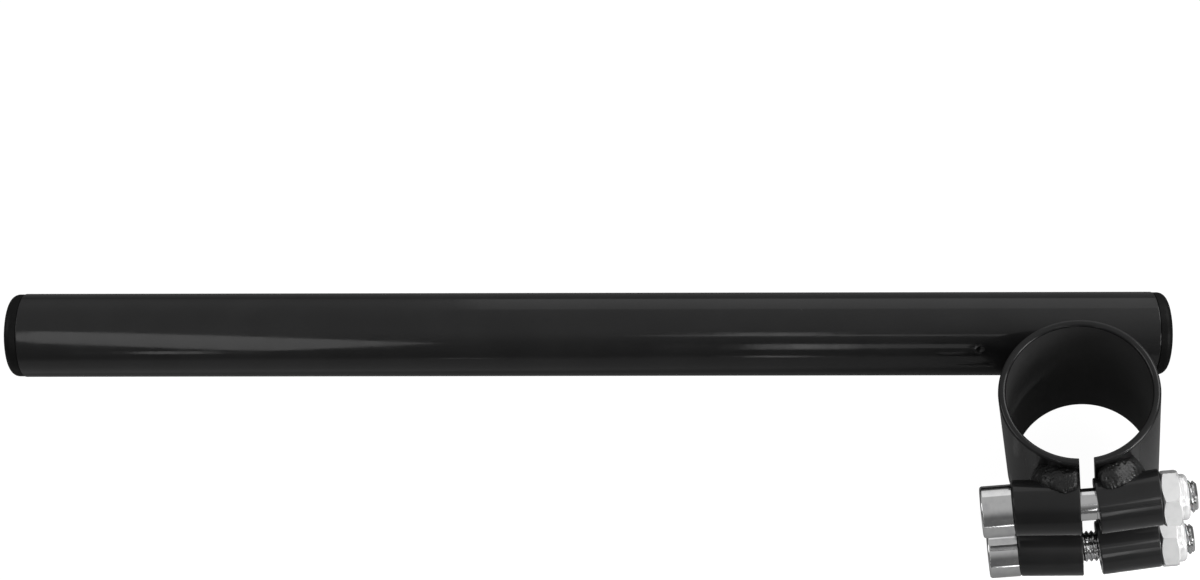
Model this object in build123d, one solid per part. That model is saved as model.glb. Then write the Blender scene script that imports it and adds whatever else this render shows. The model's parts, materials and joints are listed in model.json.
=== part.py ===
from build123d import *
import os
from math import cos, radians, sin, sqrt, tan

# A clip-on handlebar: a straight steel bar welded across a split tube that clamps round one fork leg.
# Millimetres and degrees. The origin is the middle of the clamp's bore and +Z runs along the bore.
# The bar lies on the +Y side and its grip end points to -X, climbing towards +Z.
# The slot, its bolt barrels and the two bolts are on the -Y side, with the bolt heads towards -X.

# Fork clamp
fork_d = 36.0
clamp_wall = 2.0
clamp_len = 50.0
clamp_edge = 0.4
slot_w = 3.8  # across the outside of the clamp
jaw_turn = 4.0  # each jaw is sprung open this far about the bore

# Handlebar tube
bar_d = 22.2
bar_wall = 2.0
bar_len = 300.0
bar_past_clamp = 21.5  # from the middle of the clamp to the short end, along the bar
bar_rise = 12.0  # climb of the grip end, in degrees
bar_bite = 3.1  # depth of the saddle where the clamp lets into the bar

# Push-in end plugs of the bar
plug_flange_t = 3.6
plug_flange_inset = 0.15  # the flange stands this far inside the tube's outside, so that a grip slides on
plug_edge_r = 2.0
plug_stem_len = 12.0
plug_stem_wall = 1.5
plug_stem_gap = 0.8
plug_rib_count = 4
plug_rib_t = 0.9
plug_rib_gap = 0.1

# Bolt barrels, short tubes welded beside the slot
barrel_d = 14.0
barrel_len = {"head": 16.5, "nut": 14.8}
barrel_past_slot = {"head": 0.0, "nut": 0.9}  # how far the sawn end stands into the slot
barrel_inset = 10.0  # from the clamp's rim to the barrel's middle
barrel_edge = 0.5
barrel_seat_gap = 0.2  # root opening between barrel and clamp

# Socket head bolts
bolt_d = 8.0
bolt_gap = 0.1  # least clearance in the barrel
head_d = 13.0
head_h = 8.0
head_edge = 0.7
socket_af = 6.0
socket_depth = 4.0
thread_out = 2.1  # bolt end beyond the nut
tip_chamfer = 0.9

# Lock nuts with a plastic insert under a rolled collar
nut_af = 13.0
nut_hex_h = 4.3
nut_collar_d = 11.4
nut_collar_h = 2.1
nut_collar_round = 1.2
nut_lip_t = 0.5
nut_lip_d = 9.4
nut_chamfer = 30.0
nut_bore_gap = 0.05
nut_turn = {"upper": 58.0, "lower": 46.0}  # of a corner from +Y towards +Z
insert_d = 10.2
insert_gap = 0.05

# Weld beads
bar_bead_leg = 3.3  # past the saddle, along the bar
bar_bead_climb = 0.7  # share of the way from the saddle's edge to the bar's flank
barrel_bead_run = 9.5  # along the barrel, from the slot
barrel_bead_half = 5.2  # each side of the barrel's middle, measured at the barrel
barrel_bead_round = 2.5
barrel_bead_flare = 12.0  # spread towards the clamp

# Worked out from the sizes above
bore_r = fork_d / 2
clamp_r = bore_r + clamp_wall
bar_r = bar_d / 2
bar_offset = clamp_r + bar_r - bar_bite
bar_bore_r = bar_r - bar_wall
barrel_r = barrel_d / 2
jaw = radians(jaw_turn)
barrel_offset = clamp_r + barrel_seat_gap + barrel_r
slot_face = (slot_w / 2 - clamp_r * sin(jaw)) / cos(jaw)
longest_barrel = max(barrel_len.values())
bore_reach = longest_barrel / 2 + max(barrel_past_slot.values())  # from where bolt and barrel cross
barrel_bore = (bolt_d + 2 * bore_reach * sin(jaw)) / cos(jaw) + 2 * bolt_gap
seat_x = {}
for side, length in barrel_len.items():
    seat_x[side] = (slot_face + length) * cos(jaw) + barrel_offset * sin(jaw)
bolt_y = (slot_face + longest_barrel / 2) * sin(jaw) - barrel_offset * cos(jaw)
bolt_z = {"upper": clamp_len / 2 - barrel_inset, "lower": barrel_inset - clamp_len / 2}
nut_h = nut_hex_h + nut_collar_h
bolt_len = seat_x["head"] + seat_x["nut"] + nut_h + thread_out

in_bar = Location((0, bar_offset, 0), (0, bar_rise, 0))
in_right_jaw = Rot(0, 0, jaw_turn)


def rod(radius, start, length):
    """Round bar along +X from start."""
    return extrude(Plane.YZ.offset(start) * Circle(radius), amount=length)


def turned(*points):
    """Solid of revolution about X from points of length and radius."""
    return revolve(make_face(Polyline(*points, close=True)), Axis.X)


def on_side(side, solid):
    """A piece of the right jaw, which carries the nuts, or its mirror image for the head side."""
    return solid if side == "nut" else mirror(solid, Plane.YZ)


def make_clamp_ring():
    """Short tube with chamfered rims, sawn through on the -Y side."""
    wall = Pos(bore_r + clamp_wall / 2, 0) * Rectangle(clamp_wall, clamp_len)
    wall = chamfer(wall.vertices(), clamp_edge)
    ring = revolve(Plane.XZ * wall, Axis.Z)
    inner = bore_r - clamp_wall
    outer = clamp_r + clamp_wall
    right = [
        (slot_face * cos(jaw) + reach * sin(jaw), slot_face * sin(jaw) - reach * cos(jaw))
        for reach in (inner, outer)
    ]
    left = [(-x, y) for x, y in reversed(right)]
    slot = make_face(Polyline(*right, *left, close=True))
    return ring - extrude(slot, amount=clamp_len, both=True)


def make_bar():
    """Straight tube with a saddle cut by the clamp's outside."""
    start = bar_past_clamp - bar_len
    tube = rod(bar_r, start, bar_len) - rod(bar_bore_r, start, bar_len)
    return in_bar * tube - Cylinder(clamp_r, clamp_len)


def make_bar_bead():
    """Weld bead that fills the groove all round the saddle."""
    saddle_along = sqrt(clamp_r**2 - (bar_offset - bar_r) ** 2)
    saddle_across = sqrt(bar_r**2 - (bar_offset - clamp_r) ** 2)
    half_along = saddle_along + bar_bead_leg
    half_across = saddle_across + bar_bead_climb * (bar_r - saddle_across)
    oval = Plane.XZ * Ellipse(half_along, half_across)
    collar = in_bar * extrude(oval, amount=bar_offset)
    return collar - in_bar * rod(bar_r, -bar_len, 2 * bar_len) - Cylinder(clamp_r, clamp_len)


def make_barrel(side, height):
    """Right-hand bolt barrel, faced square to the bolt at its outer end."""
    stock = barrel_len[side] + barrel_d
    axis = in_right_jaw * Pos(0, -barrel_offset, height)
    tube = axis * rod(barrel_r, slot_face - barrel_past_slot[side], stock)
    faced = split(tube, Plane.YZ.offset(seat_x[side]), keep=Keep.BOTTOM)
    rim = faced.faces().sort_by(Axis.X)[-1].edges()
    return chamfer(rim, barrel_edge) - axis * rod(barrel_bore / 2, slot_face - barrel_d, 2 * stock)


def make_barrel_bead(height):
    """Weld between the clamp and a right-hand barrel, flush with the slot."""
    plan = RectangleRounded(2 * barrel_bead_run, 2 * barrel_bead_half, barrel_bead_round)
    block = extrude(Plane.XZ * plan, amount=-barrel_offset / 2, taper=-barrel_bead_flare)
    block = Pos(slot_face, -barrel_offset, height) * block
    block = split(block, Plane.YZ.offset(slot_face), keep=Keep.TOP)
    barrel = Pos(0, -barrel_offset, height) * rod(barrel_r, 0, 2 * longest_barrel)
    return in_right_jaw * (block - barrel) - Cylinder(clamp_r, clamp_len)


def make_bolt():
    """Socket head bolt with its seat at the origin and its head towards -X."""
    head = turned((0, 0), (0, head_d / 2), (head_edge - head_h, head_d / 2),
                  (-head_h, head_d / 2 - head_edge), (-head_h, 0))
    shank = turned((0, 0), (0, bolt_d / 2), (bolt_len - tip_chamfer, bolt_d / 2),
                   (bolt_len, bolt_d / 2 - tip_chamfer), (bolt_len, 0))
    key = Plane.YZ.offset(-head_h) * RegularPolygon(socket_af / 2, 6, major_radius=False)
    return head + shank - extrude(key, amount=socket_depth)


def make_nut():
    """Lock nut on the X axis with its seat at the origin."""
    corner_r = nut_af / sqrt(3)
    fall = (corner_r - nut_af / 2) * tan(radians(nut_chamfer))
    hexagon = extrude(Plane.YZ * RegularPolygon(nut_af / 2, 6, major_radius=False), amount=nut_hex_h)
    blank = turned((0, 0), (0, nut_af / 2), (fall, corner_r), (nut_hex_h - fall, corner_r),
                   (nut_hex_h, nut_af / 2), (nut_hex_h, 0))
    collar = rod(nut_collar_d / 2, nut_hex_h / 2, nut_h - nut_hex_h / 2)
    collar = fillet(collar.faces().sort_by(Axis.X)[-1].edges(), nut_collar_round)
    body = hexagon & blank
    body += collar
    body -= rod(bolt_d / 2 + nut_bore_gap, 0, nut_hex_h)
    body -= rod(insert_d / 2, nut_hex_h, nut_collar_h - nut_lip_t)
    return body - rod(nut_lip_d / 2, nut_hex_h, nut_collar_h)


def make_insert():
    """Plastic ring that the nut's collar is rolled over."""
    start = nut_hex_h + insert_gap
    length = nut_collar_h - nut_lip_t - 2 * insert_gap
    return rod(insert_d / 2 - insert_gap, start, length) - rod(bolt_d / 2 + insert_gap, start, length)


def make_plug():
    """Ribbed push-in plug with its flange's seat at the origin and the flange towards +X."""
    flange = rod(bar_r - plug_flange_inset, 0, plug_flange_t)
    flange = fillet(flange.faces().sort_by(Axis.X)[-1].edges(), plug_edge_r)
    stem_r = bar_bore_r - plug_stem_gap
    stem = rod(stem_r, -plug_stem_len, plug_stem_len)
    rib_step = plug_stem_len / plug_rib_count
    for number in range(plug_rib_count):
        start = -plug_stem_len + number * rib_step
        stem += turned((start, 0), (start, stem_r), (start + plug_rib_t, bar_bore_r - plug_rib_gap),
                       (start + plug_rib_t, 0))
    return flange + stem - rod(stem_r - plug_stem_wall, -plug_stem_len, plug_stem_len)


pieces = {
    "clamp_ring": make_clamp_ring(),
    "handlebar_tube": make_bar(),
    "bar_weld": make_bar_bead(),
    "clamp_end_plug": in_bar * Pos(bar_past_clamp, 0, 0) * make_plug(),
    "grip_end_plug": in_bar * Location((bar_past_clamp - bar_len, 0, 0), (0, 180, 0)) * make_plug(),
}
for level, height in bolt_z.items():
    for side in barrel_len:
        pieces[f"{level}_{side}_barrel"] = on_side(side, make_barrel(side, height))
        pieces[f"{level}_{side}_barrel_weld"] = on_side(side, make_barrel_bead(height))
    on_nut_seat = Location((seat_x["nut"], bolt_y, height), (nut_turn[level], 0, 0))
    pieces[f"{level}_clamp_bolt"] = Pos(-seat_x["head"], bolt_y, height) * make_bolt()
    pieces[f"{level}_lock_nut"] = on_nut_seat * make_nut()
    pieces[f"{level}_nut_insert"] = on_nut_seat * make_insert()

os.makedirs("parts", exist_ok=True)
for name, piece in pieces.items():
    piece.label = name
    export_step(piece, f"parts/{name}.step")
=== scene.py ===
"""Looks of a clip-on handlebar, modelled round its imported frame. Metres, in the frame's own axes."""

import json
import logging
import math
from dataclasses import dataclass
from enum import Enum
from typing import Callable, Sequence

import bmesh
import bpy
from mathutils import Matrix, Vector, noise


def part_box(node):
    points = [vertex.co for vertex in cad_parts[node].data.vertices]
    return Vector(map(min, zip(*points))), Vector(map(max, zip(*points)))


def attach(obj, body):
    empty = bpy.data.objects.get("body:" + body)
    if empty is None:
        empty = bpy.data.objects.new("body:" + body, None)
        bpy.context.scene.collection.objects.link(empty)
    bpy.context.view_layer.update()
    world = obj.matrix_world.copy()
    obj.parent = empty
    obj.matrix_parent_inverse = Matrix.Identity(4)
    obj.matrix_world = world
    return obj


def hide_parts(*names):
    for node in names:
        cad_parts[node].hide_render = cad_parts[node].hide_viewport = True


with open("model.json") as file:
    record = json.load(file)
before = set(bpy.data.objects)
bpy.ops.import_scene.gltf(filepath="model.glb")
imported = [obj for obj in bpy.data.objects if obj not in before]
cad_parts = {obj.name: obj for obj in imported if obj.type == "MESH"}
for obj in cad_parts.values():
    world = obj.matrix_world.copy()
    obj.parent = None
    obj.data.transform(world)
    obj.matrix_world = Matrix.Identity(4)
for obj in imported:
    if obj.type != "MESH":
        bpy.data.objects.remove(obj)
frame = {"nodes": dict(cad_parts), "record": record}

LOG = logging.getLogger("clip_on_handlebar")

MM = 0.001
FULL_TURN = 2.0 * math.pi
MERGE_DISTANCE = 0.002 * MM
SHARP_ANGLE = math.radians(38.0)
CORNER_ANGLE = math.radians(60.0)
ROUND_STEPS = 96
NOISE_SEED = 5
BODY = "root"

BMesh = bmesh.types.BMesh
Socket = bpy.types.NodeSocket
Material = bpy.types.Material
Point = tuple[float, float]
Triple = tuple[float, float, float]
Colour = Triple


class Jaw(Enum):
    """The two jaws of the clamp, by what their bolt barrels carry."""

    HEAD = "head"
    NUT = "nut"

    @property
    def sign(self) -> float:
        """Side of the slot along X."""
        return 1.0 if self is Jaw.NUT else -1.0


class Level(Enum):
    """The two bolts, by their height along the bore."""

    UPPER = "upper"
    LOWER = "lower"


class Slot(Enum):
    """Material slots of the record."""

    PAINT = "black_paint"
    STEEL = "plated_steel"
    NYLON = "insert_plastic"
    PLUG = "plug_plastic"


# Reading the frame


def reach(node: str, direction: Vector) -> Point:
    """Lowest and highest place of a node along a direction.

    Args:
        node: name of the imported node.
        direction: unit vector in the frame.

    Returns:
        The two places in metres from the origin.
    """
    places = [vert.co.dot(direction) for vert in frame["nodes"][node].data.vertices]
    return min(places), max(places)


def mount(name: str) -> dict:
    """The record's mount of that name."""
    return next(item for item in frame["record"]["mounts"] if item["name"] == name)


# Mesh tools


def turned(profile: Sequence[Point], steps: int) -> BMesh:
    """Spin a closed profile about the X axis.

    Args:
        profile: corners of the section, each a place along X and a radius.
        steps: facets round the axis.

    Returns:
        A closed mesh.
    """
    bm = bmesh.new()
    verts = [bm.verts.new((along, radius, 0.0)) for along, radius in profile]
    edges = [bm.edges.new(pair) for pair in zip(verts, verts[1:] + verts[:1])]
    bmesh.ops.spin(bm, geom=verts + edges, cent=(0, 0, 0), axis=(1, 0, 0), angle=FULL_TURN,
                   steps=steps, use_merge=True)
    bmesh.ops.remove_doubles(bm, verts=bm.verts[:], dist=MERGE_DISTANCE)
    return bm


def rolled(rows: int, steps: int, place: Callable[[float, float], Vector]) -> BMesh:
    """Roll a flat grid into a tube or a ring and merge its seam.

    Args:
        rows: divisions along the piece.
        steps: divisions round the section.
        place: gives the point for a share of the length and a share of the way round.

    Returns:
        The rolled mesh, with ends that run to a point closed.
    """
    bm = bmesh.new()
    bmesh.ops.create_grid(bm, x_segments=rows, y_segments=steps, size=0.5)
    for vert in bm.verts:
        vert.co = place(vert.co.x + 0.5, vert.co.y + 0.5)
    bmesh.ops.remove_doubles(bm, verts=bm.verts[:], dist=MERGE_DISTANCE)
    bmesh.ops.dissolve_degenerate(bm, edges=bm.edges[:], dist=MERGE_DISTANCE)
    return bm


def round_over(bm: BMesh, edges: list, width: float, segments: int) -> None:
    """Round a list of edges to a width."""
    bmesh.ops.bevel(bm, geom=edges, offset=width, offset_type="OFFSET", segments=segments,
                    profile=0.5, affect="EDGES", material=-1, clamp_overlap=True)


def crisp_edges(bm: BMesh, least: float) -> list:
    """Edges whose faces meet at more than an angle."""
    return [edge for edge in bm.edges if edge.is_manifold and edge.calc_face_angle() > least]


def quarter_round(centre: Point, radius: float, start: float, count: int) -> list[Point]:
    """Points of a quarter circle in a profile.

    Args:
        centre: place along X and radius of the arc's centre.
        radius: size of the arc.
        start: first angle in radians, from X towards the outside, and the arc falls back from there.
        count: divisions of the arc.

    Returns:
        The arc's points from first to last.
    """
    points = []
    for number in range(count + 1):
        angle = start - 0.5 * math.pi * number / count
        points.append((centre[0] + radius * math.cos(angle), centre[1] + radius * math.sin(angle)))
    return points


def settled(bm: BMesh, name: str) -> bpy.types.Mesh:
    """Turn a finished bmesh into a mesh.

    Args:
        bm: the bmesh, used up here.
        name: name of the mesh.

    Returns:
        The new mesh.
    """
    mesh = bpy.data.meshes.new(name)
    bm.to_mesh(mesh)
    bm.free()
    return mesh


def placed(name: str, data: bpy.types.ID) -> bpy.types.Object:
    """Put a new object into the scene.

    Args:
        name: name of the object.
        data: its mesh, lamp or camera.

    Returns:
        The new object.
    """
    item = bpy.data.objects.new(name, data)
    bpy.context.scene.collection.objects.link(item)
    return item


def carved(blank: BMesh, tool: BMesh) -> BMesh:
    """Take a tool's volume out of a blank.

    Args:
        blank: closed mesh that is cut, used up here.
        tool: closed mesh that cuts, used up here.

    Returns:
        What is left of the blank.
    """
    holders = []
    for name, bm in (("blank", blank), ("tool", tool)):
        bmesh.ops.recalc_face_normals(bm, faces=bm.faces[:])
        holders.append(placed(name, settled(bm, name)))
    cut = holders[0].modifiers.new("cut", "BOOLEAN")
    cut.operation = "DIFFERENCE"
    cut.solver = "EXACT"
    cut.object = holders[1]
    graph = bpy.context.evaluated_depsgraph_get()
    mesh = bpy.data.meshes.new_from_object(holders[0].evaluated_get(graph))
    left = bmesh.new()
    left.from_mesh(mesh)
    bpy.data.meshes.remove(mesh)
    for holder in holders:
        bpy.data.meshes.remove(holder.data)
    return left


def publish(bm: BMesh, node: str, slot: Slot, *finishes: Material) -> None:
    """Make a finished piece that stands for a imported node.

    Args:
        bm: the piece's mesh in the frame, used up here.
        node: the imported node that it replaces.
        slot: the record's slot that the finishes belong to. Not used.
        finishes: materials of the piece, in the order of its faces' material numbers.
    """
    bmesh.ops.recalc_face_normals(bm, faces=bm.faces[:])
    mesh = settled(bm, f"{node}_dressed")
    for finish in finishes:
        mesh.materials.append(finish)
    mesh.shade_smooth()
    mesh.set_sharp_from_angle(angle=SHARP_ANGLE)
    piece = placed(f"{node}_dressed", mesh)
    even = piece.modifiers.new("even_normals", "WEIGHTED_NORMAL")
    even.keep_sharp = True
    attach(piece, BODY)
    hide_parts(node)
    LOG.info("%s: %d faces", piece.name, len(mesh.polygons))


# Finishes


def feed(node: bpy.types.Node, **inputs: object) -> None:
    """Set inputs of a node, with _ for a space in their names.

    Args:
        node: the node.
        inputs: plain values, or sockets to link from.
    """
    for name, value in inputs.items():
        socket = node.inputs[name.replace("_", " ")]
        if isinstance(value, Socket):
            node.id_data.links.new(value, socket)
        else:
            socket.default_value = value


def add_node(tree: bpy.types.NodeTree, kind: str, **inputs: object) -> bpy.types.Node:
    """Add a shader node and feed its inputs.

    Args:
        tree: node tree to add to.
        kind: type of the node.
        inputs: plain values, or sockets to link from.

    Returns:
        The new node.
    """
    node = tree.nodes.new(f"ShaderNode{kind}")
    feed(node, **inputs)
    return node


def set_range(node: bpy.types.Node, given: Point, wanted: Point) -> None:
    """Let a Map Range node ease one range of values into another, held at its ends."""
    node.interpolation_type = "SMOOTHSTEP"
    feed(node, From_Min=given[0], From_Max=given[1], To_Min=wanted[0], To_Max=wanted[1])


class ShaderBench:
    """A new material's node tree, with short calls for the nodes that the finishes share."""

    def __init__(self, name: str) -> None:
        """Start a material with its Principled shader.

        Args:
            name: material name.
        """
        self.material = bpy.data.materials.new(name)
        self.material.use_nodes = True
        self.tree = self.material.node_tree
        self.shader = self.tree.nodes["Principled BSDF"]
        self.place = add_node(self.tree, "TexCoord").outputs["Object"]

    def stretched(self, scale: Sequence[float]) -> Socket:
        """Object coordinates, scaled by axis.

        Args:
            scale: factor for each axis.

        Returns:
            The scaled coordinates.
        """
        scaler = add_node(self.tree, "Mapping", Vector=self.place, Scale=[1.0 / value for value in scale])
        scaler.vector_type = "TEXTURE"
        return scaler.outputs["Vector"]

    def noise(self, size: float, detail: float, place: Socket | None = None) -> Socket:
        """Noise with features of a size in metres.

        Args:
            size: width of the features.
            detail: octaves of finer noise.
            place: coordinates in place of the object's own.

        Returns:
            The noise's value socket.
        """
        source = place or self.place
        node = add_node(self.tree, "TexNoise", Vector=source, Scale=1.0 / size, Detail=detail)
        return node.outputs["Fac"]

    def cells(self, size: float) -> Socket:
        """Distance to the nearest of scattered points, in shares of their spacing."""
        return add_node(self.tree, "TexVoronoi", Vector=self.place, Scale=1.0 / size).outputs["Distance"]

    def spread(self, source: Socket, given: Point, wanted: Point) -> Socket:
        """Map a range of values to another, held at its ends.

        Args:
            source: value to map.
            given: range of the source that counts.
            wanted: values at the two ends of that range.

        Returns:
            The mapped value.
        """
        node = add_node(self.tree, "MapRange", Value=source)
        set_range(node, given, wanted)
        return node.outputs["Result"]

    def tint(self, source: Socket, low: Colour, high: Colour) -> None:
        """Let a value run the base colour between two colours.

        Args:
            source: value from 0 to 1.
            low: colour at 0.
            high: colour at 1.
        """
        node = add_node(self.tree, "Mix")
        node.data_type = "RGBA"
        feed(node, Factor=source, A=(*low, 1.0), B=(*high, 1.0))
        feed(self.shader, Base_Color=node.outputs["Result"])

    def bump(self, height: Socket, depth: float) -> None:
        """Add relief over the relief that is there.

        Args:
            height: value from 0 to 1.
            depth: height of the relief in metres.
        """
        node = add_node(self.tree, "Bump", Height=height, Distance=depth, Strength=1.0)
        normal = self.shader.inputs["Normal"]
        if normal.links:
            feed(node, Normal=normal.links[0].from_socket)
        feed(self.shader, Normal=node.outputs["Normal"], Coat_Normal=node.outputs["Normal"])


@dataclass(frozen=True)
class GlossPaint:
    """Gloss black paint with orange peel, a few dust nibs and patches of lower gloss."""

    name: str
    dark: Colour = (0.0065, 0.0065, 0.0067)
    light: Colour = (0.0095, 0.0095, 0.0098)  # where the coat is thin or dusty
    gloss: Point = (0.07, 0.14)  # roughness of the clear top, at its best and its dullest
    clear: float = 1.0  # share of the surface with a glossy top
    ior: float = 1.36  # strength of the top's mirror reflections
    haze: float = 0.48  # roughness of the soft sheen under the top
    haze_ior: float = 1.27  # strength of that sheen
    peel: float = 0.006 * MM  # depth of the orange peel
    lumps: float = 0.0  # depth of the runs and pits of weld metal under the paint

    def material(self) -> Material:
        """Build the material.

        Returns:
            The new material.
        """
        bench = ShaderBench(self.name)
        feed(bench.shader, IOR=self.haze_ior, Roughness=self.haze)
        feed(bench.shader, Coat_Weight=self.clear, Coat_IOR=self.ior)
        patches = bench.noise(size=14.0 * MM, detail=4.0)
        bench.tint(bench.spread(patches, given=(0.35, 0.7), wanted=(0.0, 1.0)), self.dark, self.light)
        smears = bench.noise(size=6.0 * MM, detail=5.0)
        dullness = bench.spread(smears, given=(0.3, 0.72), wanted=self.gloss)
        feed(bench.shader, Coat_Roughness=dullness)
        if self.lumps:
            bench.bump(bench.noise(size=1.1 * MM, detail=4.0), self.lumps)
            pits = bench.spread(bench.cells(size=1.7 * MM), given=(0.08, 0.34), wanted=(0.0, 1.0))
            bench.bump(pits, depth=0.7 * self.lumps)
        bench.bump(bench.noise(size=1.6 * MM, detail=1.0), self.peel)
        nibs = bench.spread(bench.cells(size=7.0 * MM), given=(0.0, 0.035), wanted=(1.0, 0.0))
        bench.bump(nibs, depth=0.05 * MM)
        return bench.material


@dataclass(frozen=True)
class PlatedSteel:
    """Bright plated steel with faint turning marks round the bolt's axis."""

    name: str
    bright: Colour = (0.80, 0.80, 0.80)
    worn: Colour = (0.70, 0.70, 0.71)
    gloss: Point = (0.06, 0.12)  # roughness of clean and worn plating
    mirror: float = 1.0  # share of the metal's own reflection, which a milky plating lowers
    marks: float = 0.002 * MM  # depth of the turning marks

    def material(self) -> Material:
        """Build the material.

        Returns:
            The new material.
        """
        bench = ShaderBench(self.name)
        stain = bench.spread(bench.noise(size=2.6 * MM, detail=5.0), given=(0.42, 0.75), wanted=(0.0, 1.0))
        bench.tint(stain, self.bright, self.worn)
        smears = bench.noise(size=1.8 * MM, detail=4.0)
        dullness = bench.spread(smears, given=(0.35, 0.75), wanted=self.gloss)
        feed(bench.shader, Metallic=self.mirror, Roughness=dullness)
        round_axis = bench.stretched(scale=(1.0, 0.08, 0.08))
        bench.bump(bench.noise(size=0.35 * MM, detail=2.0, place=round_axis), self.marks)
        return bench.material


@dataclass(frozen=True)
class MouldedPlastic:
    """Moulded plastic with a fine grain."""

    name: str
    dark: Colour
    light: Colour
    gloss: Point  # roughness of smooth and rubbed patches
    ior: float  # strength of the reflections
    grain: float  # depth of the moulded grain
    glow: float = 0.0  # share of light that passes under the surface

    def material(self) -> Material:
        """Build the material.

        Returns:
            The new material.
        """
        bench = ShaderBench(self.name)
        feed(bench.shader, IOR=self.ior, Subsurface_Weight=self.glow, Subsurface_Scale=0.5 * MM)
        patches = bench.noise(size=3.5 * MM, detail=4.0)
        bench.tint(bench.spread(patches, given=(0.35, 0.7), wanted=(0.0, 1.0)), self.dark, self.light)
        smears = bench.noise(size=1.4 * MM, detail=3.0)
        dullness = bench.spread(smears, given=(0.3, 0.75), wanted=self.gloss)
        feed(bench.shader, Roughness=dullness)
        bench.bump(bench.noise(size=0.3 * MM, detail=2.0), self.grain)
        return bench.material


GLOSS_BLACK = GlossPaint("gloss_black_paint")
# The bore's thin dull coat has no glossy top, and its pale grey base is painted light that stands in for
# light falling into the bore.
BORE_COAT_PAINTED_LIGHT = GlossPaint("thin_bore_coat_painted_light", dark=(0.056,) * 3, light=(0.064,) * 3, clear=0.0)
WELD_PAINT = GlossPaint("painted_weld", (0.006,) * 3, (0.010,) * 3, (0.13, 0.36), lumps=0.30 * MM)
BRIGHT_STEEL = PlatedSteel("bright_plated_steel")
PALE_ZINC = PlatedSteel("pale_zinc", (0.95,) * 3, (0.86,) * 3, (0.12, 0.24), mirror=0.55)
NUT_NYLON = MouldedPlastic("nut_nylon", dark=(0.46, 0.48, 0.50), light=(0.62, 0.64, 0.66),
                           gloss=(0.35, 0.5), ior=1.45, grain=0.004 * MM, glow=0.3)
PLUG_PLASTIC = MouldedPlastic("plug_plastic", dark=(0.0045,) * 3, light=(0.0065,) * 3, gloss=(0.40, 0.55),
                              ior=1.22, grain=0.006 * MM)


# Sub-assemblies


@dataclass
class Bead:
    """A run of weld metal with crescent ripples."""

    radius: float = 2.2 * MM  # half thickness of the section
    spread: float = 1.0  # how much wider than thick it is on its inner side, across the seam
    overlap: float = 1.0  # the same on its outer side
    ripple: float = 0.13 * MM  # height of the ripples
    ripple_length: float = 1.5 * MM  # spacing of the ripples along the run
    wander: float = 0.30 * MM  # how unevenly the bead lies and swells
    lump_length: float = 2.4 * MM  # spacing of that unevenness
    bow: float = 0.5  # how far a ripple bows along the run, in ripples
    bluntness: int = 16  # power that sets how suddenly an open run ends
    rows: int = 7  # of the mesh, to a ripple
    steps: int = 28  # round the section
    seed: float = 0.0  # place in the noise field, so that no two beads are alike

    def laid(self, path: Callable[[float], Vector], length: float, closed: bool) -> BMesh:
        """Lay the bead along a path.

        Args:
            path: gives the centre of the bead for a share of its run.
            length: length of the run.
            closed: whether the run comes back to its start.

        Returns:
            The bead's closed mesh.
        """
        ripples = round(length / self.ripple_length)
        step = 0.001

        def place(share: float, turn: float) -> Vector:
            """Point of the bead's skin.

            Args:
                share: share of the run.
                turn: share of the way round the section.

            Returns:
                The point in the frame.
            """
            centre = path(share)
            ahead = (path(share + step) - path(share - step)).normalized()
            out = Vector((centre.x, centre.y, 0.0)).normalized()
            across = ahead.cross(out).normalized()
            out = across.cross(ahead)
            angle = FULL_TURN * turn
            crescent = self.bow * math.cos(angle)
            wave = math.cos(FULL_TURN * (ripples * share - crescent))
            size = self.radius + self.ripple * abs(wave)
            if not closed:
                size *= math.sqrt(max(0.0, 1.0 - (2.0 * share - 1.0) ** self.bluntness))
            wide = self.overlap if math.cos(angle) > 0.0 else self.spread
            skin = centre + (out * math.cos(angle) * wide + across * math.sin(angle)) * size
            drift = noise.noise_vector(skin / self.lump_length + Vector((self.seed, 0.0, 0.0)))
            return skin + drift * (self.wander if closed or size > 0.0 else 0.0)

        return rolled(ripples * self.rows, self.steps, place)


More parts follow.
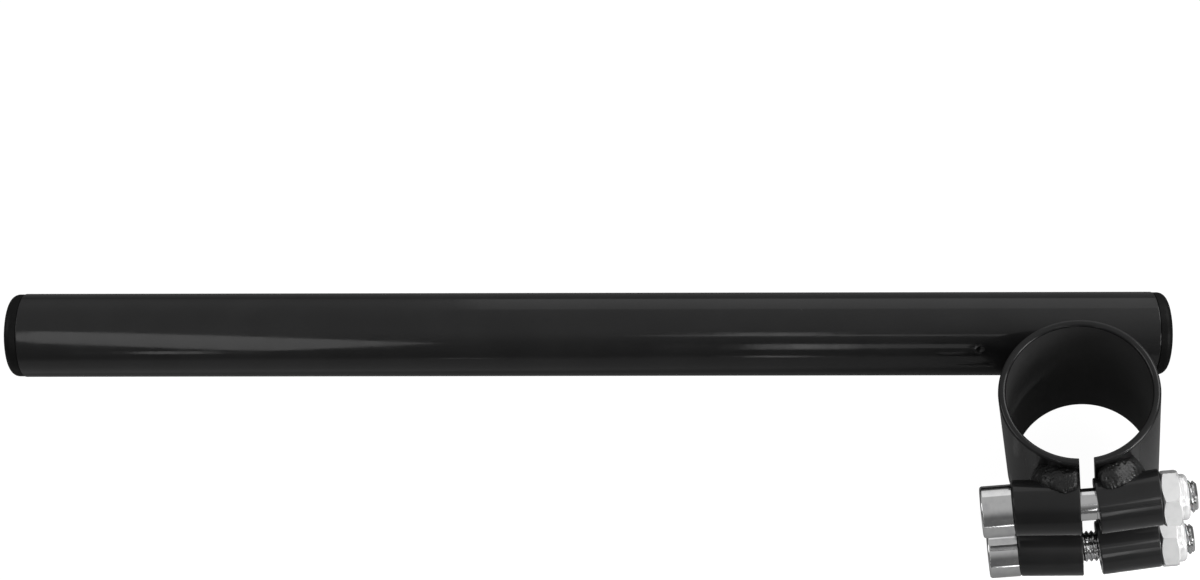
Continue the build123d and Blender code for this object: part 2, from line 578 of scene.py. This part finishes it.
@dataclass
class Handlebar:
    """The straight tube and the bead that joins it to the clamp."""

    bead: Bead
    steps: int = 192  # round the tube
    saddle_steps: int = 256  # round the tool that cuts the saddle
    row_length: float = 6.0 * MM  # spacing of the rows along the tube
    bore_r: float = 9.1 * MM
    rim_round: float = 0.25 * MM
    bead_half_along: float = 12.6 * MM  # half length of the weld's oval, along the tube
    bead_half_across: float = 9.3 * MM  # half width of that oval, across the tube
    bead_lift: float = 0.7 * MM  # height of the weld's centre line over the clamp
    dent_along: float = -25.6 * MM  # from the clamp's middle, along the tube
    dent_turn: float = math.radians(138.0)  # round the tube, from +Y towards the near rim
    dent_size: float = 0.62 * MM
    dent_depth: float = 0.30 * MM
    dent_lip: float = 0.35  # height of the metal thrown up round the dent, as a share of its depth
    lip_away: float = 1.5  # from the dent's middle to the crest of that metal, in dent sizes
    lip_steepness: float = 4.0  # how quickly it falls away on both sides

    def __post_init__(self) -> None:
        """Read the tube's place from the frame."""
        seat = mount("grip_seat")
        self.radius = seat["dims"]["r_mm"] * MM
        self.along = -Vector(seat["axis"]).normalized()
        self.offset = Vector((0.0, seat["pos_m"][1], 0.0))
        self.near = self.along.cross(Vector((0.0, 1.0, 0.0)))
        self.start, self.end = reach("handlebar_tube", self.along)
        self.clamp_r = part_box("clamp_ring")[1].x
        turn = Matrix((self.along, Vector((0.0, 1.0, 0.0)), self.near)).transposed().to_4x4()
        self.place = Matrix.Translation(self.offset) @ turn

    def tube(self) -> BMesh:
        """The tube with its saddle.

        Returns:
            The tube's mesh in the frame.
        """
        length = self.end - self.start
        rows = round(length / self.row_length)
        outside = [(self.start + length * row / rows, self.radius) for row in range(rows + 1)]
        profile = [(self.start, self.bore_r), *outside, (self.end, self.bore_r)]
        blank = turned(profile, self.steps)
        rims = [edge for edge in crisp_edges(blank, CORNER_ANGLE)
                if all(abs(math.hypot(v.co.y, v.co.z) - self.radius) < MERGE_DISTANCE for v in edge.verts)]
        round_over(blank, rims, self.rim_round, segments=2)
        self.dent(blank)
        blank.transform(self.place)
        tool = bmesh.new()
        bmesh.ops.create_cone(tool, cap_ends=True, segments=self.saddle_steps, radius1=self.clamp_r,
                              radius2=self.clamp_r, depth=4.0 * self.clamp_r)
        return carved(blank, tool)

    def dent(self, bm: BMesh) -> None:
        """Press a small dent into the tube's wall.

        Args:
            bm: the tube, before it is turned into place.
        """
        centre = Vector((self.dent_along, self.radius * math.cos(self.dent_turn),
                         self.radius * math.sin(self.dent_turn)))
        for sizes_away in (10.0, 6.0, 4.0, 2.5):
            near = sizes_away * self.dent_size
            close = [edge for edge in bm.edges
                     if ((edge.verts[0].co + edge.verts[1].co) / 2 - centre).length < near]
            bmesh.ops.subdivide_edges(bm, edges=close, cuts=1, use_grid_fill=True)
        inward = Vector((0.0, -centre.y, -centre.z)).normalized()
        for vert in bm.verts:
            radius = math.hypot(vert.co.y, vert.co.z)
            if radius > self.radius - self.rim_round:
                away = (vert.co - centre).length / self.dent_size
                lip = self.dent_lip * math.exp(-self.lip_steepness * (away - self.lip_away) ** 2)
                vert.co += inward * self.dent_depth * (math.exp(-away * away) - lip)

    def saddle_bead(self) -> BMesh:
        """The weld that runs all round the saddle.

        Returns:
            The weld's mesh in the frame.
        """
        along = self.along * self.bead_half_along
        across = self.near * self.bead_half_across
        lie_r = self.clamp_r + self.bead_lift

        def path(share: float) -> Vector:
            """Centre of the bead, in the groove between tube and clamp.

            Args:
                share: share of the run.

            Returns:
                The point in the frame.
            """
            angle = FULL_TURN * share
            flat = along * math.cos(angle) + across * math.sin(angle)
            return Vector((flat.x, math.sqrt(lie_r ** 2 - flat.x ** 2), flat.z))

        length = FULL_TURN * math.sqrt((self.bead_half_along ** 2 + self.bead_half_across ** 2) / 2.0)
        return self.bead.laid(path, length, closed=True)


@dataclass
class ForkClamp:
    """The split clamp tube with its bolt barrels and their welds."""

    steps: int = 240  # round the clamp
    edge_round: float = 0.85 * MM  # rounding of the rims
    slot_round: float = 0.10 * MM  # rounding of the sawn slot's edges
    slot_face: float = 0.506 * MM  # distance from the radial plane of its jaw
    slot_reach: float = 3.0 * MM  # half width of the space that is cleared for the slot
    jaw_turn: float = math.radians(4.0)  # how far each jaw is sprung open about the bore
    barrel_r: float = 7.0 * MM
    barrel_bore_r: float = 4.75 * MM
    barrel_offset: float = 27.2 * MM  # from the bore's axis to a barrel's axis
    barrel_round: float = 0.5 * MM  # rounding of a barrel's outer rim
    sawn_round: float = 0.35 * MM  # rounding of a barrel's end at the slot
    weld_run: float = 10.2 * MM  # length of a barrel's weld from the slot
    weld_half: float = 6.6 * MM  # from the barrel's middle to each leg of its weld
    weld_start: float = 0.15  # past the slot face, in half thicknesses of the bead

    def __post_init__(self) -> None:
        """Read the clamp's size from the frame."""
        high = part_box("clamp_ring")[1]
        self.outer_r = high.x
        self.half_length = high.z
        self.bore_r = mount("fork_clamp")["dims"]["r_mm"] * MM

    def jaw(self, side: Jaw) -> Matrix:
        """Turns and mirrors a piece of the nut side's unsprung jaw into place."""
        mirror = Matrix.Diagonal((side.sign, 1.0, 1.0, 1.0))
        return mirror @ Matrix.Rotation(self.jaw_turn, 4, "Z")

    def ring(self) -> BMesh:
        """The clamp tube, sawn through on the -Y side.

        Returns:
            The clamp's mesh, with material 1 in its bore.
        """
        bm = bmesh.new()
        inside_slot = math.radians(3.0)
        near, far = self.bore_r + self.edge_round, self.outer_r - self.edge_round
        top = self.half_length - self.edge_round
        section = []
        for number, centre in enumerate(((far, top), (far, -top), (near, -top), (near, top))):
            section += quarter_round(centre, self.edge_round, 0.5 * math.pi * (1 - number), count=6)
        verts = [bm.verts.new((radius, 0.0, height)) for radius, height in section]
        edges = [bm.edges.new(pair) for pair in zip(verts, verts[1:] + verts[:1])]
        bmesh.ops.rotate(bm, verts=verts, matrix=Matrix.Rotation(inside_slot - math.pi / 2, 3, "Z"))
        bmesh.ops.spin(bm, geom=verts + edges, cent=(0, 0, 0), axis=(0, 0, 1),
                       angle=FULL_TURN - 2.0 * inside_slot, steps=self.steps)
        for side in Jaw:
            jaw = self.jaw(side)
            front = [face for face in bm.faces if face.calc_center_median().y < 0.0]
            edges = {edge for face in front for edge in face.edges}
            verts = {vert for face in front for vert in face.verts}
            cut = bmesh.ops.bisect_plane(bm, geom=[*verts, *edges, *front],
                                         plane_co=jaw @ Vector((self.slot_face, -self.outer_r, 0.0)),
                                         plane_no=jaw.to_3x3() @ Vector((-1.0, 0.0, 0.0)))
            self.clear_past(bm, jaw)
            rim = [item for item in cut["geom_cut"]
                   if isinstance(item, bmesh.types.BMEdge) and item.is_valid]
            bmesh.ops.edgeloop_fill(bm, edges=rim)
        round_over(bm, crisp_edges(bm, CORNER_ANGLE), self.slot_round, segments=2)
        coated_r = self.bore_r + 0.02 * MM
        for face in bm.faces:
            middle = face.calc_center_median()
            face.material_index = int(math.hypot(middle.x, middle.y) < coated_r)
        return bm

    def clear_past(self, bm: BMesh, jaw: Matrix) -> None:
        """Delete the stub that stands in the slot past a jaw's cut.

        Args:
            bm: the clamp tube.
            jaw: the jaw's turn.
        """
        back = jaw.inverted()
        side = (jaw @ Vector((1.0, 0.0, 0.0))).x
        in_slot = [vert for vert in bm.verts if vert.co.y < 0.0 and abs(vert.co.x) < self.slot_reach]
        stub = [vert for vert in in_slot
                if -self.outer_r < (back @ vert.co).x < self.slot_face - MERGE_DISTANCE
                and side * vert.co.x > -MERGE_DISTANCE]
        bmesh.ops.delete(bm, geom=stub, context="VERTS")

    def barrel(self, level: Level, side: Jaw) -> BMesh:
        """A bolt barrel, faced square to the bolt at its outer end.

        Args:
            level: which bolt it is for.
            side: jaw that it stands on.

        Returns:
            The barrel's mesh in the frame.
        """
        low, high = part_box(f"{level.value}_{side.value}_barrel")
        seat = high.x if side is Jaw.NUT else -low.x
        height = (low.z + high.z) / 2
        stock = seat + self.barrel_r
        outward = self.jaw(side).to_3x3() @ Vector((1.0, 0.0, 0.0))
        start = reach(f"{level.value}_{side.value}_barrel", outward)[0]
        bm = turned([(start, self.barrel_bore_r), (start, self.barrel_r),
                     (stock, self.barrel_r), (stock, self.barrel_bore_r)], ROUND_STEPS)
        beside_slot = Matrix.Translation((0.0, -self.barrel_offset, height))
        bm.transform(Matrix.Rotation(self.jaw_turn, 4, "Z") @ beside_slot)
        cut = bmesh.ops.bisect_plane(bm, geom=bm.verts[:] + bm.edges[:] + bm.faces[:],
                                     plane_co=(seat, 0.0, 0.0), plane_no=(1.0, 0.0, 0.0), clear_outer=True)
        rims = [item for item in cut["geom_cut"] if isinstance(item, bmesh.types.BMEdge)]
        bmesh.ops.bridge_loops(bm, edges=rims)
        crisp = crisp_edges(bm, CORNER_ANGLE)
        sawn = [edge for edge in crisp if max(vert.co.x for vert in edge.verts) < seat / 2]
        faced = [edge for edge in crisp if edge not in sawn]
        round_over(bm, faced, self.barrel_round, segments=3)
        round_over(bm, [edge for edge in sawn if edge.is_valid], self.sawn_round, segments=2)
        if side is Jaw.HEAD:
            bm.transform(Matrix.Diagonal((-1.0, 1.0, 1.0, 1.0)))
        return bm

    def barrel_weld(self, level: Level, side: Jaw, bead: Bead) -> BMesh:
        """A weld that runs out along one side of a barrel and back along the other.

        Args:
            level: which bolt the barrel is for.
            side: jaw that it stands on.
            bead: the weld's section.

        Returns:
            The weld's mesh in the frame.
        """
        low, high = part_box(f"{level.value}_{side.value}_barrel")
        height = (low.z + high.z) / 2
        bend = self.weld_half
        straight = self.weld_run - self.slot_face - bend
        around = math.pi * bend
        length = 2.0 * straight + around
        jaw = self.jaw(side)

        def path(share: float) -> Vector:
            """Centre of the weld, half way between barrel and clamp.

            Args:
                share: share of the run.

            Returns:
                The point in the frame.
            """
            run = min(1.0, max(0.0, share)) * length
            if run < straight:
                out, rise = run, bend
            elif run > straight + around:
                out, rise = length - run, -bend
            else:
                angle = (run - straight) / bend
                out, rise = straight + bend * math.sin(angle), bend * math.cos(angle)
            along = self.slot_face + bead.radius * self.weld_start + out
            on_clamp = -math.sqrt(self.outer_r ** 2 - along ** 2)
            on_barrel = math.sqrt(self.barrel_r ** 2 - rise ** 2) - self.barrel_offset
            return jaw @ Vector((along, (on_clamp + on_barrel) / 2, height + rise))

        return bead.laid(path, length, closed=False)


@dataclass
class ClampFastener:
    """One socket head bolt with its lock nut."""

    level: Level
    thread_from: float  # place along X
    nut_turn: float  # turn of a corner from +Y towards +Z
    head_h: float = 8.0 * MM
    head_round: float = 0.7 * MM
    head_foot: float = 0.25 * MM  # chamfer at the seat
    shank_r: float = 4.0 * MM
    pitch: float = 1.25 * MM
    thread_depth: float = 0.70 * MM
    thread_slope: float = 1.25  # steepness of the flanks, where 1 leaves no flat on the crests
    thread_rows: int = 10  # of the mesh, to a turn
    thread_steps: int = 56  # round the shank
    plain_share: float = 0.04  # share of the shank's rows that lie before the thread
    tip_chamfer: float = 0.9 * MM
    socket_af: float = 6.0 * MM  # across its flats
    socket_depth: float = 4.0 * MM
    socket_cone: float = 0.9 * MM  # depth of the drilled cone below the socket
    sink_margin: float = 0.25 * MM  # from the socket's corners to the countersink's rim
    sink_width: float = 0.2 * MM  # before the socket is made hexagonal
    sink_depth: float = 0.3 * MM
    nut_af: float = 13.0 * MM  # across its flats
    nut_hex_h: float = 4.3 * MM
    nut_chamfer: float = math.radians(30.0)  # slope of the chamfer on the corners
    flat_inset: float = 0.1 * MM  # how far inside the flats that chamfer starts
    collar_r: float = 5.7 * MM
    collar_round: float = 1.2 * MM
    collar_foot: float = 0.25 * MM  # fillet at the collar's foot
    lip_r: float = 4.7 * MM  # opening of the collar
    lip_t: float = 0.5 * MM
    insert_r: float = 5.1 * MM  # room for the plastic insert
    insert_fall: float = 0.02 * MM  # fall of the shoulder that the insert lies on
    gap: float = 0.05 * MM  # clearance round the thread and the insert

    def __post_init__(self) -> None:
        """Read the bolt's and the nut's places from the frame."""
        low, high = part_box(f"{self.level.value}_clamp_bolt")
        nut_low, nut_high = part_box(f"{self.level.value}_lock_nut")
        self.head_r = (high.z - low.z) / 2
        self.seat_x = low.x + self.head_h
        self.tip_x = high.x
        self.nut_x = nut_low.x
        self.nut_h = nut_high.x - nut_low.x
        self.axis = Matrix.Translation((0.0, (low.y + high.y) / 2, (low.z + high.z) / 2))

    def hex_radius(self, angle: float, across_flats: float) -> float:
        """Distance from the axis to a hexagon's side at an angle, with a corner at angle zero."""
        sixth = math.pi / 3
        return across_flats / 2 / math.cos((angle % sixth) - sixth / 2)

    def bolt(self) -> BMesh:
        """The bolt with its thread and its hex socket.

        Returns:
            The bolt's mesh in the frame.
        """
        bm = self.shank()
        mesh = settled(self.head(), "head")
        bm.from_mesh(mesh)
        bpy.data.meshes.remove(mesh)
        bm.transform(self.axis)
        return bm

    def shank(self) -> BMesh:
        """The shank, with a helical thread to its chamfered tip.

        Returns:
            The shank's mesh on the X axis.
        """
        inside_head = self.seat_x - self.head_h / 4
        threaded = self.tip_x - self.thread_from
        plain = self.plain_share

        def place(share: float, turn: float) -> Vector:
            """Point of the shank's skin.

            Args:
                share: share of the shank's rows.
                turn: share of the way round.

            Returns:
                The point, with the bolt on the X axis.
            """
            if share < plain:
                along = inside_head + (self.thread_from - inside_head) * share / plain
            else:
                along = self.thread_from + threaded * (share - plain) / (1.0 - plain)
            phase = (along / self.pitch - turn) % 1.0
            groove = max(0.0, 1.0 - abs(2.0 * phase - 1.0) * self.thread_slope) * self.thread_depth
            groove *= min(1.0, max(0.0, (along - self.thread_from) / self.pitch))
            chamfer = max(0.0, along - self.tip_x + self.tip_chamfer)
            radius = min(self.shank_r - groove, self.shank_r - chamfer)
            angle = FULL_TURN * turn
            return Vector((along, radius * math.cos(angle), radius * math.sin(angle)))

        bm = rolled(round(threaded / self.pitch * self.thread_rows), self.thread_steps, place)
        bmesh.ops.holes_fill(bm, edges=[edge for edge in bm.edges if edge.is_boundary])
        return bm

    def head(self) -> BMesh:
        """The round head with a hex socket in its face.

        Returns:
            The head's mesh on the X axis.
        """
        face_x = self.seat_x - self.head_h
        floor_x = face_x + self.socket_depth
        rim_r = self.socket_af / math.sqrt(3.0) + self.sink_margin
        hole_r = rim_r - self.sink_width
        corner = quarter_round((face_x + self.head_round, self.head_r - self.head_round), self.head_round,
                               math.pi, count=5)
        profile = [(self.seat_x, 0.0), (self.seat_x, self.head_r - self.head_foot),
                   (self.seat_x - self.head_foot, self.head_r), *reversed(corner), (face_x, rim_r),
                   (face_x + self.sink_depth, hole_r), (floor_x, hole_r), (floor_x + self.socket_cone, 0.0)]
        bm = turned(profile, ROUND_STEPS)
        for vert in bm.verts:
            radius = math.hypot(vert.co.y, vert.co.z)
            if abs(radius - hole_r) < MERGE_DISTANCE:
                wanted = self.hex_radius(math.atan2(vert.co.z, vert.co.y), self.socket_af)
                vert.co.y *= wanted / radius
                vert.co.z *= wanted / radius
        return bm

    def nut(self) -> BMesh:
        """The lock nut with chamfered corners and a rolled collar.

        Returns:
            The nut's mesh in the frame.
        """
        corner_r = self.nut_af / math.sqrt(3.0)
        flat_r = self.nut_af / 2 - self.flat_inset
        bore_r = self.shank_r + self.gap
        top = quarter_round((self.nut_h - self.collar_round, self.collar_r - self.collar_round),
                            self.collar_round, math.pi / 2, count=6)
        under_lip = self.nut_h - self.lip_t
        profile = [(0.0, bore_r), (0.0, flat_r), (0.0, corner_r), (self.nut_hex_h, corner_r),
                   (self.nut_hex_h, flat_r), (self.nut_hex_h, self.collar_r + self.collar_foot),
                   (self.nut_hex_h + self.collar_foot, self.collar_r), *top, (self.nut_h, self.lip_r),
                   (under_lip, self.lip_r), (under_lip, self.insert_r),
                   (self.nut_hex_h, self.insert_r), (self.nut_hex_h - self.insert_fall, bore_r)]
        bm = turned(profile, ROUND_STEPS)
        for vert in bm.verts:
            radius = math.hypot(vert.co.y, vert.co.z)
            if radius > corner_r - MERGE_DISTANCE:
                wanted = self.hex_radius(math.atan2(vert.co.z, vert.co.y), self.nut_af)
                fall = (wanted - flat_r) * math.tan(self.nut_chamfer)
                vert.co.x += fall if vert.co.x < self.nut_hex_h / 2 else -fall
                vert.co.y *= wanted / radius
                vert.co.z *= wanted / radius
        bm.transform(self.on_seat())
        return bm

    def insert(self) -> BMesh:
        """The plastic ring under the collar.

        Returns:
            The insert's mesh in the frame.
        """
        start = self.nut_hex_h + self.gap
        end = self.nut_h - self.lip_t - self.gap
        inner, outer = self.shank_r + self.gap, self.insert_r - self.gap
        bm = turned([(start, inner), (start, outer), (end, outer), (end, inner)], ROUND_STEPS)
        bm.transform(self.on_seat())
        return bm

    def on_seat(self) -> Matrix:
        """Turns the nut's pieces about the bolt and moves them to the barrel's end."""
        turn = Matrix.Rotation(self.nut_turn, 4, "X")
        return self.axis @ Matrix.Translation((self.nut_x, 0.0, 0.0)) @ turn


@dataclass
class EndPlug:
    """A push-in plug in one end of the tube."""

    node: str
    flange_inset: float = 0.15 * MM  # from the tube's outside
    flange_foot: float = 0.2 * MM  # chamfer at the tube
    edge_round: float = 2.0 * MM
    crown: float = 0.12 * MM  # rise of the flange's face towards its middle
    stem_r: float = 8.3 * MM
    stem_bore_r: float = 6.8 * MM
    stem_len: float = 12.0 * MM
    rib_r: float = 9.0 * MM
    rib_t: float = 0.9 * MM
    ribs: int = 4
    steps: int = 128

    def mesh(self, bar: Handlebar) -> BMesh:
        """The plug in its end of the tube.

        Args:
            bar: the tube that the plug is pushed into.

        Returns:
            The plug's mesh in the frame.
        """
        low, high = reach(self.node, bar.along)
        flange_t = max(high - bar.end, bar.start - low)
        flange_r = bar.radius - self.flange_inset
        flat_r = flange_r - self.edge_round
        edge_x = flange_t - self.crown - self.edge_round
        edge = quarter_round((edge_x, flat_r), self.edge_round, math.pi / 2, count=8)
        face = [(flange_t - self.crown * share ** 2, share * flat_r) for share in (0.75, 0.5, 0.25, 0.0)]
        stem = []
        spacing = self.stem_len / self.ribs
        for number in range(self.ribs):
            start = -self.stem_len + number * spacing
            end = start + self.rib_t
            stem += [(start, self.stem_r), (end, self.rib_r), (end, self.stem_r)]
        profile = [(0.0, 0.0), (0.0, self.stem_bore_r), (-self.stem_len, self.stem_bore_r), *stem,
                   (0.0, self.stem_r), (0.0, flange_r - self.flange_foot), (self.flange_foot, flange_r),
                   *edge, *face]
        bm = turned(profile, self.steps)
        if high > bar.end:
            in_end = Matrix.Translation((bar.end, 0.0, 0.0))
        else:
            in_end = Matrix.Translation((bar.start, 0.0, 0.0)) @ Matrix.Rotation(math.pi, 4, "Y")
        bm.transform(bar.place @ in_end)
        return bm


# Studio


@dataclass(frozen=True)
class Softbox:
    """A soft rectangular lamp, placed by its bearing from the tube."""

    name: str
    swing: float  # bearing round the tube in degrees, from the camera's side towards the top of the picture
    along: float  # shift along the tube towards the short end
    distance: float  # from the tube
    length: float  # along the tube
    height: float  # round the tube
    level: float  # brightness of its face, where 1 is white
    lean: float = 0.0  # turn about its own normal, in degrees
    toe: float = 0.0  # turn towards the tube's middle, in degrees


@dataclass
class Studio:
    """Floor, surroundings, lamps and camera."""

    camera_at: Triple = (-13.0 * MM, -223.4 * MM, 524.1 * MM)
    camera_turn: Triple = (27.449, 12.367, 0.065)  # about X, Y and Z, in degrees
    lens: float = 63.91  # in millimetres
    sensor: float = 36.0  # in millimetres
    clip_start: float = 0.01
    floor_drop: float = 5.0 * MM  # below the clamp's lower rim
    floor_size: float = 8.0
    painted_shadow_fade: Point = (-40.0 * MM, -8.0 * MM)  # places along Y between which the floor's colour fades into a painted shadow under and behind the object
    floor_tone_and_painted_shadow: Point = (0.44, 0.12)  # the floor's colour in front and the painted shadow behind, at the two places
    floor_glow: float = 0.97  # how white the camera sees the floor without any lamp
    mirrored_glow: float = 0.04  # how white reflections see it and the room
    dome_toward: Triple = (0.05, 0.42, 0.906)  # direction of the room's brightest part
    dome_from: Point = (0.2, 0.85)  # cosines to that direction where the room is darkest and brightest
    dome_level: Point = (0.12, 0.54)  # brightness of the room at the two
    spot_toward: Triple = (0.60, -0.50, 0.62)  # direction from the nuts to their lamp
    spot_distance: float = 0.60
    spot_cone: float = math.radians(5.4)
    spot_blend: float = 0.4  # share of the cone that fades out
    spot_radius: float = 0.012
    spot_power: float = 14.0  # in watts
    lamps: tuple[Softbox, ...] = (
        Softbox("key", -9.6, -0.316, 0.75, 0.38, 0.80, 1.9, lean=53.4, toe=56.4),
        Softbox("low left streak", -48.0, -0.264, 0.75, 0.044, 0.10, 2.2),
        Softbox("speck", -70.0, -0.085, 0.75, 0.018, 0.09, 2.0),
        Softbox("streak", -2.8, 0.14, 0.75, 0.23, 0.05, 1.1),
        Softbox("streak core", 1.0, 0.100, 0.75, 0.060, 0.11, 2.0),
        Softbox("low streak", -33.0, 0.19, 0.75, 0.18, 0.15, 0.8),
        Softbox("low core", -34.0, 0.118, 0.75, 0.056, 0.20, 2.1),
        Softbox("lowest streak", -65.0, 0.106, 0.75, 0.028, 0.11, 3.2),
        Softbox("rear", 95.0, 0.26, 0.80, 0.70, 0.60, 0.40),
        Softbox("right", 60.0, 0.62, 0.65, 0.50, 0.60, 2.6, toe=40.0),
        Softbox("front right", -20.0, 0.75, 0.60, 0.40, 0.40, 5.0, toe=50.0),
        Softbox("left", 35.0, -0.95, 0.50, 0.50, 0.60, 1.6, toe=-55.0),
    )

    def build(self, bar: Handlebar) -> None:
        """Set up everything that isn't part of the object.

        Args:
            bar: the tube that the lamps are placed from.
        """
        self.floor()
        self.surroundings()
        camera = self.camera()
        for lamp in self.lamps:
            self.lamp(lamp, bar, camera)
        self.nut_spot()
        bpy.context.scene.view_settings.view_transform = "Standard"

    def camera(self) -> bpy.types.Object:
        """The camera at the photograph's viewing angle.

        Returns:
            The scene's camera.
        """
        data = bpy.data.cameras.new("camera")
        data.lens = self.lens
        data.sensor_width = self.sensor
        data.clip_start = self.clip_start
        camera = placed("camera", data)
        camera.location = self.camera_at
        camera.rotation_euler = [math.radians(angle) for angle in self.camera_turn]
        bpy.context.scene.camera = camera
        bpy.context.view_layer.update()
        return camera

    def lamp(self, box: Softbox, bar: Handlebar, camera: bpy.types.Object) -> None:
        """Hang one softbox, facing the tube.

        Args:
            box: its size, brightness and bearing.
            bar: the tube that it faces.
            camera: its bearing is counted from here.
        """
        middle = bar.offset + bar.along * (bar.start + bar.end) / 2
        back = camera.matrix_world.to_3x3() @ Vector((0.0, 0.0, 1.0))
        up = camera.matrix_world.to_3x3() @ Vector((0.0, 1.0, 0.0))
        swing = math.radians(box.swing)
        toward = back * math.cos(swing) + up * math.sin(swing)
        face_up = up * math.cos(swing) - back * math.sin(swing)
        data = bpy.data.lights.new(box.name, "AREA")
        data.shape = "RECTANGLE"
        data.size = box.length
        data.size_y = box.height
        data.energy = math.pi * box.level * box.length * box.height
        right = face_up.cross(toward)
        turn = Matrix((right, face_up, toward)).transposed().to_4x4()
        place = Matrix.Translation(middle + toward * box.distance + bar.along * box.along)
        toe = Matrix.Rotation(math.radians(box.toe), 4, "Y")
        lean = Matrix.Rotation(math.radians(box.lean), 4, "Z")
        placed(box.name, data).matrix_world = place @ turn @ toe @ lean

    def nut_spot(self) -> None:
        """Aim a narrow lamp at the lock nuts."""
        boxes = [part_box(f"{level.value}_lock_nut") for level in Level]
        target = sum((low + high for low, high in boxes), Vector()) / (2 * len(boxes))
        toward = Vector(self.spot_toward).normalized()
        data = bpy.data.lights.new("nut spot", "SPOT")
        data.energy = self.spot_power
        data.spot_size = self.spot_cone
        data.spot_blend = self.spot_blend
        data.shadow_soft_size = self.spot_radius
        lamp = placed("nut spot", data)
        lamp.location = target + toward * self.spot_distance
        lamp.rotation_euler = toward.to_track_quat("Z", "Y").to_euler()

    def floor(self) -> None:
        """A floor below the object, pale in front and dark behind with a painted shadow under the object,
        that the camera sees as white.
        """
        bm = bmesh.new()
        bmesh.ops.create_grid(bm, x_segments=1, y_segments=1, size=self.floor_size / 2)
        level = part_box("clamp_ring")[0].z - self.floor_drop
        bmesh.ops.translate(bm, verts=bm.verts[:], vec=(0.0, 0.0, level))
        mesh = settled(bm, "floor")
        floor = placed("floor", mesh)
        material = bpy.data.materials.new("pale_floor")
        material.use_nodes = True
        tree = material.node_tree
        tree.nodes.clear()
        axes = add_node(tree, "SeparateXYZ", Vector=add_node(tree, "TexCoord").outputs["Object"])
        # Painted shadow: the floor's colour darkens along +Y, under and behind the object.
        shade = add_node(tree, "MapRange", Value=axes.outputs["Y"])
        set_range(shade, self.painted_shadow_fade, self.floor_tone_and_painted_shadow)
        diffuse = add_node(tree, "BsdfDiffuse", Color=shade.outputs["Result"])
        glow = add_node(tree, "Emission", Strength=self.seen_as_background(tree, self.floor_glow))
        both = add_node(tree, "AddShader")
        tree.links.new(diffuse.outputs["BSDF"], both.inputs[0])
        tree.links.new(glow.outputs["Emission"], both.inputs[1])
        add_node(tree, "OutputMaterial", Surface=both.outputs["Shader"])
        mesh.materials.append(material)

    def seen_as_background(self, tree: bpy.types.NodeTree, seen: float) -> Socket:
        """How much a ray sees the plain white background.

        Args:
            tree: node tree to add to.
            seen: share for the camera and through clear pieces.

        Returns:
            A socket with the share.
        """
        path = add_node(tree, "LightPath")
        shares = {"Is Camera Ray": seen, "Is Transmission Ray": seen, "Is Glossy Ray": self.mirrored_glow}
        total = None
        for name, share in shares.items():
            part = add_node(tree, "Math")
            part.operation = "MULTIPLY"
            part.inputs[1].default_value = share
            tree.links.new(path.outputs[name], part.inputs[0])
            if total is None:
                total = part.outputs["Value"]
                continue
            larger = add_node(tree, "Math")
            larger.operation = "MAXIMUM"
            tree.links.new(total, larger.inputs[0])
            tree.links.new(part.outputs["Value"], larger.inputs[1])
            total = larger.outputs["Value"]
        return total

    def surroundings(self) -> None:
        """A dim soft room that the camera sees as white."""
        world = bpy.data.worlds.new("room")
        bpy.context.scene.world = world
        world.use_nodes = True
        tree = world.node_tree
        tree.nodes.clear()
        facing = add_node(tree, "VectorMath")
        facing.operation = "DOT_PRODUCT"
        facing.inputs[1].default_value = self.dome_toward
        tree.links.new(add_node(tree, "TexCoord").outputs["Generated"], facing.inputs[0])
        ramp = add_node(tree, "MapRange", Value=facing.outputs["Value"])
        set_range(ramp, self.dome_from, self.dome_level)
        room = add_node(tree, "Background", Strength=ramp.outputs["Result"])
        white = add_node(tree, "Background")
        mix = add_node(tree, "MixShader", Fac=self.seen_as_background(tree, 1.0))
        tree.links.new(room.outputs["Background"], mix.inputs[1])
        tree.links.new(white.outputs["Background"], mix.inputs[2])
        add_node(tree, "OutputWorld", Surface=mix.outputs["Shader"])


# Assembly


def main() -> None:
    """Build every piece and set the scene."""
    logging.basicConfig(level=logging.INFO, format="%(message)s")
    noise.seed_set(NOISE_SEED)
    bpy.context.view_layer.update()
    paint = GLOSS_BLACK.material()
    weld_paint = WELD_PAINT.material()
    steel = BRIGHT_STEEL.material()
    zinc = PALE_ZINC.material()
    nylon = NUT_NYLON.material()
    black = PLUG_PLASTIC.material()

    bar = Handlebar(bead=Bead(radius=1.95 * MM, seed=3.0))
    publish(bar.tube(), "handlebar_tube", Slot.PAINT, paint)
    publish(bar.saddle_bead(), "bar_weld", Slot.PAINT, weld_paint)

    clamp = ForkClamp()
    # Material 1 in the bore is the dull coat, with painted light in its pale base.
    publish(clamp.ring(), "clamp_ring", Slot.PAINT, paint, BORE_COAT_PAINTED_LIGHT.material())
    for number, level in enumerate(Level):
        for side in Jaw:
            node = f"{level.value}_{side.value}_barrel"
            seed = 11.0 + 7.0 * number + 3.0 * side.sign
            bead = Bead(radius=1.65 * MM, spread=1.8, overlap=2.2, wander=0.42 * MM, seed=seed)
            publish(clamp.barrel(level, side), node, Slot.PAINT, paint)
            publish(clamp.barrel_weld(level, side, bead), f"{node}_weld", Slot.PAINT, weld_paint)

    fasteners = (
        ClampFastener(Level.UPPER, thread_from=1.2 * MM, nut_turn=math.radians(58.0)),
        ClampFastener(Level.LOWER, thread_from=-3.0 * MM, nut_turn=math.radians(46.0)),
    )
    for fastener in fasteners:
        name = fastener.level.value
        publish(fastener.bolt(), f"{name}_clamp_bolt", Slot.STEEL, steel)
        publish(fastener.nut(), f"{name}_lock_nut", Slot.STEEL, zinc)
        publish(fastener.insert(), f"{name}_nut_insert", Slot.NYLON, nylon)

    for node in ("grip_end_plug", "clamp_end_plug"):
        publish(EndPlug(node).mesh(bar), node, Slot.PLUG, black)

    Studio().build(bar)


if __name__ == "__main__":
    main()
